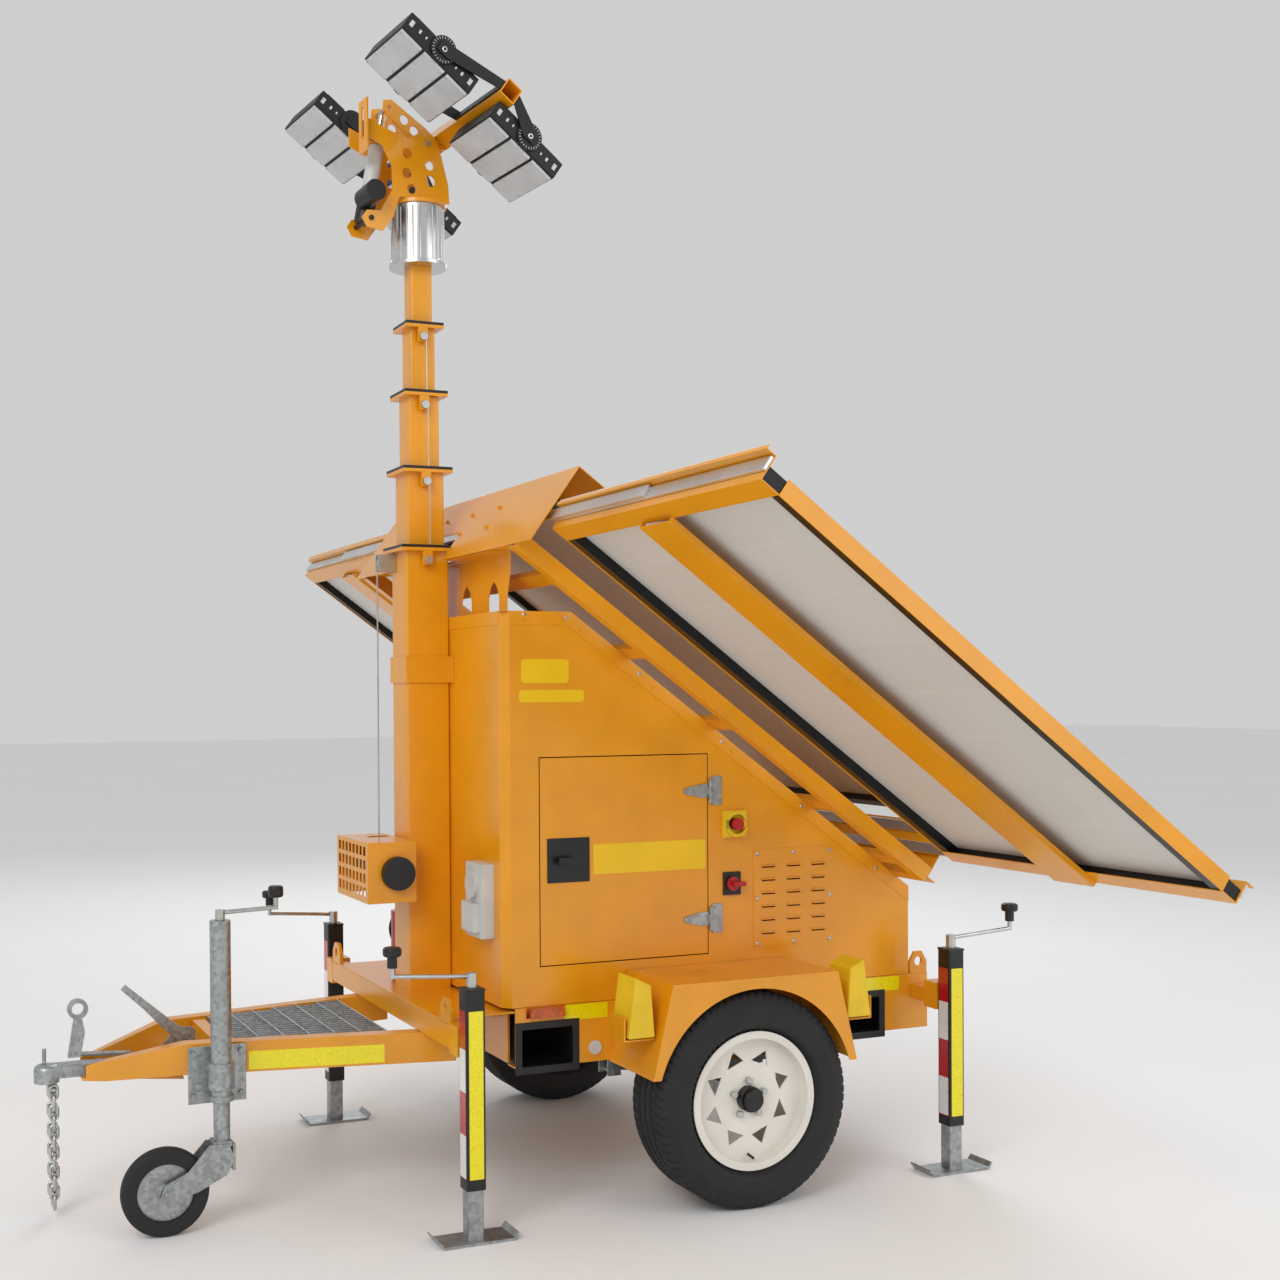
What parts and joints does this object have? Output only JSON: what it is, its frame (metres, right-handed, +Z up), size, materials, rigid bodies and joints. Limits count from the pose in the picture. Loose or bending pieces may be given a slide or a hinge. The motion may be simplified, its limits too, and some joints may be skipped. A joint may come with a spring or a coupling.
{
  "type": "solar lighting tower trailer",
  "caption": "Towed road-works trailer with a cabinet, telescopic mast, tilting flood lamp head, sliding solar panel wings, jacks, jockey wheel and ball coupling.",
  "frame": {"origin": "on the ground under the middle of the machine's overall bounding box", "axes": "+X to the rear of the trailer (the coupling points to -X), +Y to the trailer's right-hand side, +Z up"},
  "size_m": [3.03, 3.68, 3.4868],
  "materials": {
    "yellow_paint": "gloss",
    "black_paint": "satin",
    "galvanised": "matte",
    "zinc": "satin",
    "steel_rope": "satin",
    "stainless": "satin",
    "tyre_and_rim": "matte",
    "jockey_tyre": "matte",
    "chock_yellow": "matte",
    "panel": "satin",
    "lamp": "satin",
    "red_plastic": "gloss",
    "red_paint": "gloss",
    "fittings": "satin",
    "battery": "matte",
    "chrome_rod": "polished"
  },
  "bodies": {
    "trailer": {"chassis_frame": "yellow_paint", "fork_pockets": "black_paint", "outrigger_beams": "yellow_paint", "drawbar_rails": "yellow_paint", "drawbar_grating": "galvanised", "axle_and_springs": "galvanised", "mudguards": "yellow_paint", "wheel_chocks": "chock_yellow", "cabinet_shell": "yellow_paint", "cabinet_cover": "yellow_paint", "louvre_panels": "yellow_paint", "door_hinges": "galvanised", "side_fittings": "fittings", "battery_bank": "battery", "fire_extinguisher": "red_paint", "panel_tray": "yellow_paint", "ridge_cap": "yellow_paint", "ridge_bracket": "yellow_paint", "centre_panel": "panel", "mast_base": "yellow_paint", "winch_box": "yellow_paint", "winch_rope": "steel_rope", "jack_tubes": "black_paint", "jockey_bracket": "galvanised", "coupling_body": "galvanised"},
    "wheel_left": {"wheel_left": "tyre_and_rim"},
    "wheel_right": {"wheel_right": "tyre_and_rim"},
    "jockey_column": {"jockey_tube": "galvanised"},
    "jockey_crank": {"jockey_crank": "zinc"},
    "jockey_fork": {"jockey_fork": "galvanised"},
    "jockey_wheel": {"jockey_wheel": "jockey_tyre"},
    "handbrake": {"handbrake_lever": "galvanised"},
    "coupling_latch": {"coupling_latch": "galvanised"},
    "chains": {"safety_chains": "zinc"},
    "door": {"cabinet_door": "yellow_paint"},
    "door_latch": {"door_latch": "black_paint"},
    "stop_button": {"stop_button": "red_plastic"},
    "isolator": {"isolator_knob": "red_plastic"},
    "mast_2": {"mast_section_2": "yellow_paint"},
    "mast_3": {"mast_section_3": "yellow_paint"},
    "mast_4": {"mast_section_4": "yellow_paint"},
    "mast_5": {"mast_section_5": "yellow_paint", "rotator_drum": "stainless"},
    "head": {"head_bracket": "yellow_paint"},
    "actuator_body": {"actuator_body": "fittings"},
    "actuator_rod": {"actuator_rod": "chrome_rod"},
    "lamp_bar": {"lamp_bar": "yellow_paint", "lamps": "lamp"},
    "wing_left": {"wing_left": "panel"},
    "wing_right": {"wing_right": "panel"},
    "slide_left": {"slides_left": "galvanised"},
    "slide_right": {"slides_right": "galvanised"},
    "jack_front_left": {"jack_leg_front_left": "galvanised"},
    "crank_front_left": {"jack_crank_front_left": "zinc"},
    "jack_front_right": {"jack_leg_front_right": "galvanised"},
    "crank_front_right": {"jack_crank_front_right": "zinc"},
    "jack_rear_left": {"jack_leg_rear_left": "galvanised"},
    "crank_rear_left": {"jack_crank_rear_left": "zinc"},
    "jack_rear_right": {"jack_leg_rear_right": "galvanised"},
    "crank_rear_right": {"jack_crank_rear_right": "zinc"}
  },
  "joints": [
    {"name": "wheel_left_spin", "type": "hinge", "parent": "trailer", "child": "wheel_left", "pos_m": [0.467, -0.6675, 0.323], "axis": [0, 1, 0], "continuous": true},
    {"name": "wheel_right_spin", "type": "hinge", "parent": "trailer", "child": "wheel_right", "pos_m": [0.467, 0.6675, 0.323], "axis": [0, 1, 0], "continuous": true},
    {"name": "jockey_swing", "type": "hinge", "parent": "trailer", "child": "jockey_column", "pos_m": [-1.023, -0.29, 0.44], "axis": [0, 1, 0], "range_deg": [0, 60]},
    {"name": "jockey_raise", "type": "slide", "parent": "jockey_column", "child": "jockey_fork", "axis": [0, 0, 1], "range_m": [0, 0.11]},
    {"name": "jockey_crank_turn", "type": "hinge", "parent": "jockey_column", "child": "jockey_crank", "pos_m": [-1.023, -0.29, 0.88], "axis": [0, 0, 1], "range_deg": [0, 631.3]},
    {"name": "jockey_wheel_spin", "type": "hinge", "parent": "jockey_fork", "child": "jockey_wheel", "pos_m": [-1.188, -0.29, 0.125], "axis": [0, 1, 0], "continuous": true},
    {"name": "jack_front_left_raise", "type": "slide", "parent": "trailer", "child": "jack_front_left", "axis": [0, 0, 1], "range_m": [0, 0.13]},
    {"name": "crank_front_left_turn", "type": "hinge", "parent": "trailer", "child": "crank_front_left", "pos_m": [-0.395, -0.662, 0.703], "axis": [0, 0, 1], "range_deg": [0, 75]},
    {"name": "jack_front_right_raise", "type": "slide", "parent": "trailer", "child": "jack_front_right", "axis": [0, 0, 1], "range_m": [0, 0.13]},
    {"name": "crank_front_right_turn", "type": "hinge", "parent": "trailer", "child": "crank_front_right", "pos_m": [-0.395, 0.662, 0.703], "axis": [0, 0, 1], "range_deg": [-75, 0]},
    {"name": "jack_rear_left_raise", "type": "slide", "parent": "trailer", "child": "jack_rear_left", "axis": [0, 0, 1], "range_m": [0, 0.13]},
    {"name": "crank_rear_left_turn", "type": "hinge", "parent": "trailer", "child": "crank_rear_left", "pos_m": [1.254, -0.662, 0.703], "axis": [0, 0, 1], "range_deg": [-75, 0]},
    {"name": "jack_rear_right_raise", "type": "slide", "parent": "trailer", "child": "jack_rear_right", "axis": [0, 0, 1], "range_m": [0, 0.13]},
    {"name": "crank_rear_right_turn", "type": "hinge", "parent": "trailer", "child": "crank_rear_right", "pos_m": [1.254, 0.662, 0.703], "axis": [0, 0, 1], "range_deg": [0, 75]},
    {"name": "handbrake_pull", "type": "hinge", "parent": "trailer", "child": "handbrake", "pos_m": [-1.069, 0, 0.501], "axis": [0, 1, 0], "range_deg": [0, 45]},
    {"name": "coupling_latch_lift", "type": "hinge", "parent": "trailer", "child": "coupling_latch", "pos_m": [-1.401, 0, 0.478], "axis": [0, 1, 0], "range_deg": [-25, 0]},
    {"name": "chain_swing", "type": "hinge", "parent": "trailer", "child": "chains", "pos_m": [-1.461, 0, 0.38], "axis": [0, 1, 0], "range_deg": [-50, 50]},
    {"name": "door_open", "type": "hinge", "parent": "trailer", "child": "door", "pos_m": [0.474, -0.498, 1], "axis": [0, 0, 1], "range_deg": [0, 110]},
    {"name": "latch_turn", "type": "hinge", "parent": "door", "child": "door_latch", "pos_m": [-0.012, -0.491, 1.031], "axis": [0, 1, 0], "range_deg": [0, 90]},
    {"name": "stop_push", "type": "slide", "parent": "trailer", "child": "stop_button", "axis": [0, 1, 0], "range_m": [0, 0.003], "stiffness_N_per_m": 900},
    {"name": "isolator_turn", "type": "hinge", "parent": "trailer", "child": "isolator", "pos_m": [0.551, -0.491, 0.933], "axis": [0, 1, 0], "range_deg": [0, 90]},
    {"name": "mast_2_raise", "type": "slide", "parent": "trailer", "child": "mast_2", "axis": [0, 0, 1], "range_m": [0, 1.1]},
    {"name": "mast_3_raise", "type": "slide", "parent": "mast_2", "child": "mast_3", "axis": [0, 0, 1], "range_m": [0, 1.1]},
    {"name": "mast_4_raise", "type": "slide", "parent": "mast_3", "child": "mast_4", "axis": [0, 0, 1], "range_m": [0, 1.1]},
    {"name": "mast_5_raise", "type": "slide", "parent": "mast_4", "child": "mast_5", "axis": [0, 0, 1], "range_m": [0, 1.1]},
    {"name": "head_turn", "type": "hinge", "parent": "mast_5", "child": "head", "pos_m": [-0.297, 0, 3.093], "axis": [0, 0, 1], "range_deg": [-170, 170]},
    {"name": "lamp_tilt", "type": "hinge", "parent": "head", "child": "lamp_bar", "pos_m": [-0.29004, 0.00079, 3.273], "axis": [-0.1132, 0.9936, 0], "range_deg": [-14, 25]},
    {"name": "actuator_swing", "type": "hinge", "parent": "head", "child": "actuator_body", "pos_m": [-0.48677, -0.02162, 3.013], "axis": [-0.1132, 0.9936, 0], "range_deg": [-6, 6]},
    {"name": "actuator_extend", "type": "slide", "parent": "actuator_body", "child": "actuator_rod", "axis": [0.1923, 0.0219, 0.9811], "range_m": [-0.055, 0.065]},
    {"name": "wing_left_in", "type": "slide", "parent": "trailer", "child": "wing_left", "axis": [0, 1, 0], "range_m": [0, 1.316]},
    {"name": "slide_left_in", "type": "slide", "parent": "trailer", "child": "slide_left", "axis": [0, 1, 0], "range_m": [0, 0.7897]},
    {"name": "wing_right_in", "type": "slide", "parent": "trailer", "child": "wing_right", "axis": [0, -1, 0], "range_m": [0, 1.316]},
    {"name": "slide_right_in", "type": "slide", "parent": "trailer", "child": "slide_right", "axis": [0, -1, 0], "range_m": [0, 0.7897]}
  ],
  "couplings": [
    {"joint": "jockey_crank_turn", "follows": "jockey_raise", "rad_per_m": 100},
    {"joint": "crank_front_left_turn", "follows": "jack_front_left_raise", "rad_per_m": 10},
    {"joint": "crank_front_right_turn", "follows": "jack_front_right_raise", "rad_per_m": -10},
    {"joint": "crank_rear_left_turn", "follows": "jack_rear_left_raise", "rad_per_m": -10},
    {"joint": "crank_rear_right_turn", "follows": "jack_rear_right_raise", "rad_per_m": 10},
    {"joint": "mast_3_raise", "follows": "mast_2_raise", "ratio": 1},
    {"joint": "mast_4_raise", "follows": "mast_2_raise", "ratio": 1},
    {"joint": "mast_5_raise", "follows": "mast_2_raise", "ratio": 1},
    {"joint": "actuator_swing", "follows": "lamp_tilt", "ratio": 0.2},
    {"joint": "actuator_extend", "follows": "lamp_tilt", "m_per_rad": 0.1388},
    {"joint": "slide_left_in", "follows": "wing_left_in", "ratio": 0.6},
    {"joint": "slide_right_in", "follows": "wing_right_in", "ratio": 0.6}
  ]
}
